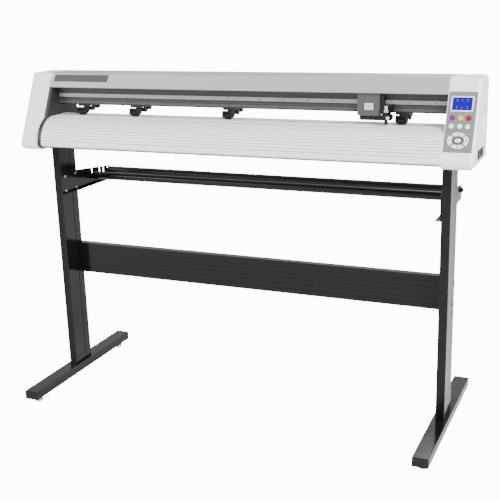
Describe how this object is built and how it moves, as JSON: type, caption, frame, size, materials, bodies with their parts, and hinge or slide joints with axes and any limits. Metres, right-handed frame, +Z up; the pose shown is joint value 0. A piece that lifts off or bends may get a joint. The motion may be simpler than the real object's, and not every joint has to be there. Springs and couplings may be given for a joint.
{
  "type": "vinyl cutting plotter",
  "caption": "Floor-standing roll-fed vinyl cutter: leaning-front head with carriage, pinch rollers and control panel on a two-column stand with a roll holder behind.",
  "frame": {"origin": "on the floor, under the middle of the machine", "axes": "+X to the operator's right, +Y away from the operator, +Z up"},
  "size_m": [1.54, 0.62, 1.116],
  "materials": {
    "stand_black": "semi-gloss powder coat",
    "cap_black": "moulded",
    "pad_grey": "moulded",
    "zinc": "zinc plated",
    "cover_white": "fine moulded texture",
    "frame_dark": "dark grey paint",
    "platen_white": "white coated aluminium",
    "top_silver": "satin anodised",
    "beam_grey": "dark anodised",
    "rail_steel": "ground",
    "motor_black": "black paint",
    "bronze": "sintered",
    "panel_grey": "printed film",
    "display": "smooth",
    "board_green": "solder mask",
    "supply_metal": "folded sheet",
    "inlet_grey": "moulded",
    "belt_black": "toothed",
    "key_magenta": "moulded",
    "key_yellow": "moulded",
    "key_red": "moulded",
    "key_white": "moulded",
    "bracket_grey": "cast, satin",
    "arm_black": "moulded",
    "roller_rubber": "ground",
    "rod_black": "painted tube",
    "grit_steel": "knurled",
    "pulley_metal": "turned",
    "carriage_black": "black paint",
    "hood_grey": "moulded",
    "clamp_black": "moulded",
    "holder_black": "turned",
    "knob_white": "moulded",
    "switch_black": "moulded"
  },
  "bodies": {
    "stand": {"foot_tubes": "stand_black", "foot_end_caps": "cap_black", "left_column": "stand_black", "right_column": "stand_black", "crossbar": "stand_black", "roll_brackets": "stand_black", "stand_screws": "zinc", "left_end_cover": "cover_white", "right_end_cover": "cover_white", "chassis": "frame_dark", "platen": "platen_white", "top_cover": "top_silver", "main_beam": "beam_grey", "linear_rail": "rail_steel", "stepper_motors": "motor_black", "shaft_bearings": "bronze", "control_panel": "panel_grey", "display_window": "display", "circuit_boards": "board_green", "power_supply": "supply_metal", "power_inlet": "inlet_grey", "carriage_belt": "belt_black"},
    "levelling_foot_front_left": {"levelling_foot_front_left": "pad_grey"},
    "levelling_foot_rear_left": {"levelling_foot_rear_left": "pad_grey"},
    "levelling_foot_front_right": {"levelling_foot_front_right": "pad_grey"},
    "levelling_foot_rear_right": {"levelling_foot_rear_right": "pad_grey"},
    "front_roll_rod": {"front_roll_rod": "rod_black"},
    "rear_roll_rod": {"rear_roll_rod": "rod_black"},
    "grit_shaft": {"grit_shaft": "grit_steel"},
    "pinch_bracket_1": {"pinch_bracket_1": "bracket_grey"},
    "pinch_arm_1": {"pinch_arm_1": "arm_black"},
    "pinch_roller_1": {"pinch_roller_1": "roller_rubber"},
    "pinch_bracket_2": {"pinch_bracket_2": "bracket_grey"},
    "pinch_arm_2": {"pinch_arm_2": "arm_black"},
    "pinch_roller_2": {"pinch_roller_2": "roller_rubber"},
    "pinch_bracket_3": {"pinch_bracket_3": "bracket_grey"},
    "pinch_arm_3": {"pinch_arm_3": "arm_black"},
    "pinch_roller_3": {"pinch_roller_3": "roller_rubber"},
    "pinch_bracket_4": {"pinch_bracket_4": "bracket_grey"},
    "pinch_arm_4": {"pinch_arm_4": "arm_black"},
    "pinch_roller_4": {"pinch_roller_4": "roller_rubber"},
    "carriage": {"carriage_block": "carriage_black", "carriage_cover": "hood_grey"},
    "tool": {"tool_clamp": "clamp_black", "blade_holder": "holder_black"},
    "clamp_knob": {"clamp_knob": "knob_white"},
    "drive_pulley": {"drive_pulley": "pulley_metal"},
    "idler_pulley": {"idler_pulley": "pulley_metal"},
    "power_switch": {"power_switch": "switch_black"},
    "key_arrow_down": {"key_arrow_down": "key_white"},
    "key_arrow_left": {"key_arrow_left": "key_white"},
    "key_arrow_right": {"key_arrow_right": "key_white"},
    "key_arrow_up": {"key_arrow_up": "key_white"},
    "key_magenta": {"key_magenta": "key_magenta"},
    "key_ok": {"key_ok": "key_white"},
    "key_red": {"key_red": "key_red"},
    "key_white_left": {"key_white_left": "key_white"},
    "key_white_middle": {"key_white_middle": "key_white"},
    "key_white_right": {"key_white_right": "key_white"},
    "key_yellow": {"key_yellow": "key_yellow"}
  },
  "joints": [
    {"name": "levelling_foot_front_left_height", "type": "slide", "parent": "stand", "child": "levelling_foot_front_left", "axis": [0, 0, -1], "range_m": [0, 0.01]},
    {"name": "levelling_foot_rear_left_height", "type": "slide", "parent": "stand", "child": "levelling_foot_rear_left", "axis": [0, 0, -1], "range_m": [0, 0.01]},
    {"name": "levelling_foot_front_right_height", "type": "slide", "parent": "stand", "child": "levelling_foot_front_right", "axis": [0, 0, -1], "range_m": [0, 0.01]},
    {"name": "levelling_foot_rear_right_height", "type": "slide", "parent": "stand", "child": "levelling_foot_rear_right", "axis": [0, 0, -1], "range_m": [0, 0.01]},
    {"name": "front_roll_rod_spin", "type": "hinge", "parent": "stand", "child": "front_roll_rod", "pos_m": [0, 0.15, 0.7275], "axis": [1, 0, 0], "continuous": true},
    {"name": "rear_roll_rod_spin", "type": "hinge", "parent": "stand", "child": "rear_roll_rod", "pos_m": [0, 0.2563, 0.7275], "axis": [1, 0, 0], "continuous": true},
    {"name": "grit_shaft_spin", "type": "hinge", "parent": "stand", "child": "grit_shaft", "pos_m": [0, -0.0044, 0.9631], "axis": [1, 0, 0], "continuous": true},
    {"name": "pinch_bracket_1_slide", "type": "slide", "parent": "stand", "child": "pinch_bracket_1", "axis": [1, 0, 0], "range_m": [-0.065, 0.08]},
    {"name": "pinch_arm_1_lift", "type": "hinge", "parent": "pinch_bracket_1", "child": "pinch_arm_1", "pos_m": [-0.586, 0.041, 0.991], "axis": [-1, 0, 0], "range_deg": [0, 6], "stiffness_Nm_per_rad": 1, "springref_deg": -5.73},
    {"name": "pinch_roller_1_spin", "type": "hinge", "parent": "pinch_arm_1", "child": "pinch_roller_1", "pos_m": [-0.586, -0.0044, 0.9834], "axis": [1, 0, 0], "continuous": true},
    {"name": "pinch_bracket_2_slide", "type": "slide", "parent": "stand", "child": "pinch_bracket_2", "axis": [1, 0, 0], "range_m": [-0.08, 0.15]},
    {"name": "pinch_arm_2_lift", "type": "hinge", "parent": "pinch_bracket_2", "child": "pinch_arm_2", "pos_m": [-0.378, 0.041, 0.991], "axis": [-1, 0, 0], "range_deg": [0, 6], "stiffness_Nm_per_rad": 1, "springref_deg": -5.73},
    {"name": "pinch_roller_2_spin", "type": "hinge", "parent": "pinch_arm_2", "child": "pinch_roller_2", "pos_m": [-0.378, -0.0044, 0.9834], "axis": [1, 0, 0], "continuous": true},
    {"name": "pinch_bracket_3_slide", "type": "slide", "parent": "stand", "child": "pinch_bracket_3", "axis": [1, 0, 0], "range_m": [-0.14, 0.25]},
    {"name": "pinch_arm_3_lift", "type": "hinge", "parent": "pinch_bracket_3", "child": "pinch_arm_3", "pos_m": [-0.034, 0.041, 0.991], "axis": [-1, 0, 0], "range_deg": [0, 6], "stiffness_Nm_per_rad": 1, "springref_deg": -5.73},
    {"name": "pinch_roller_3_spin", "type": "hinge", "parent": "pinch_arm_3", "child": "pinch_roller_3", "pos_m": [-0.034, -0.0044, 0.9834], "axis": [1, 0, 0], "continuous": true},
    {"name": "pinch_bracket_4_slide", "type": "slide", "parent": "stand", "child": "pinch_bracket_4", "axis": [1, 0, 0], "range_m": [-0.26, 0.115]},
    {"name": "pinch_arm_4_lift", "type": "hinge", "parent": "pinch_bracket_4", "child": "pinch_arm_4", "pos_m": [0.535, 0.041, 0.991], "axis": [-1, 0, 0], "range_deg": [0, 6], "stiffness_Nm_per_rad": 1, "springref_deg": -5.73},
    {"name": "pinch_roller_4_spin", "type": "hinge", "parent": "pinch_arm_4", "child": "pinch_roller_4", "pos_m": [0.535, -0.0044, 0.9834], "axis": [1, 0, 0], "continuous": true},
    {"name": "carriage_travel", "type": "slide", "parent": "stand", "child": "carriage", "axis": [1, 0, 0], "range_m": [-1.035, 0.155]},
    {"name": "tool_drop", "type": "slide", "parent": "carriage", "child": "tool", "axis": [0, 0, 1], "range_m": [-0.0035, 0], "stiffness_N_per_m": 300, "springref_m": 0.006},
    {"name": "clamp_knob_turn", "type": "hinge", "parent": "tool", "child": "clamp_knob", "pos_m": [0.507, -0.06, 0.999], "axis": [0, -1, 0], "range_deg": [0, 360]},
    {"name": "drive_pulley_spin", "type": "hinge", "parent": "stand", "child": "drive_pulley", "pos_m": [0.724, -0.012, 1.077], "axis": [0, 1, 0], "continuous": true},
    {"name": "idler_pulley_spin", "type": "hinge", "parent": "stand", "child": "idler_pulley", "pos_m": [-0.655, -0.012, 1.077], "axis": [0, 1, 0], "continuous": true},
    {"name": "power_switch_rock", "type": "hinge", "parent": "stand", "child": "power_switch", "pos_m": [0.761, -0.029, 0.897], "axis": [0, -1, 0], "range_deg": [0, 12]},
    {"name": "key_arrow_down_press", "type": "slide", "parent": "stand", "child": "key_arrow_down", "axis": [0, 0.9029, -0.4299], "range_m": [0, 0.0012], "stiffness_N_per_m": 400, "springref_m": -0.0005},
    {"name": "key_arrow_left_press", "type": "slide", "parent": "stand", "child": "key_arrow_left", "axis": [0, 0.9029, -0.4299], "range_m": [0, 0.0012], "stiffness_N_per_m": 400, "springref_m": -0.0005},
    {"name": "key_arrow_right_press", "type": "slide", "parent": "stand", "child": "key_arrow_right", "axis": [0, 0.9029, -0.4299], "range_m": [0, 0.0012], "stiffness_N_per_m": 400, "springref_m": -0.0005},
    {"name": "key_arrow_up_press", "type": "slide", "parent": "stand", "child": "key_arrow_up", "axis": [0, 0.9029, -0.4299], "range_m": [0, 0.0012], "stiffness_N_per_m": 400, "springref_m": -0.0005},
    {"name": "key_magenta_press", "type": "slide", "parent": "stand", "child": "key_magenta", "axis": [0, 0.9029, -0.4299], "range_m": [0, 0.0012], "stiffness_N_per_m": 400, "springref_m": -0.0005},
    {"name": "key_ok_press", "type": "slide", "parent": "stand", "child": "key_ok", "axis": [0, 0.9029, -0.4299], "range_m": [0, 0.0012], "stiffness_N_per_m": 400, "springref_m": -0.0005},
    {"name": "key_red_press", "type": "slide", "parent": "stand", "child": "key_red", "axis": [0, 0.9029, -0.4299], "range_m": [0, 0.0012], "stiffness_N_per_m": 400, "springref_m": -0.0005},
    {"name": "key_white_left_press", "type": "slide", "parent": "stand", "child": "key_white_left", "axis": [0, 0.9029, -0.4299], "range_m": [0, 0.0012], "stiffness_N_per_m": 400, "springref_m": -0.0005},
    {"name": "key_white_middle_press", "type": "slide", "parent": "stand", "child": "key_white_middle", "axis": [0, 0.9029, -0.4299], "range_m": [0, 0.0012], "stiffness_N_per_m": 400, "springref_m": -0.0005},
    {"name": "key_white_right_press", "type": "slide", "parent": "stand", "child": "key_white_right", "axis": [0, 0.9029, -0.4299], "range_m": [0, 0.0012], "stiffness_N_per_m": 400, "springref_m": -0.0005},
    {"name": "key_yellow_press", "type": "slide", "parent": "stand", "child": "key_yellow", "axis": [0, 0.9029, -0.4299], "range_m": [0, 0.0012], "stiffness_N_per_m": 400, "springref_m": -0.0005}
  ],
  "couplings": [
    {"joint": "drive_pulley_spin", "follows": "carriage_travel", "rad_per_m": -101.52},
    {"joint": "idler_pulley_spin", "follows": "carriage_travel", "rad_per_m": -101.52}
  ]
}
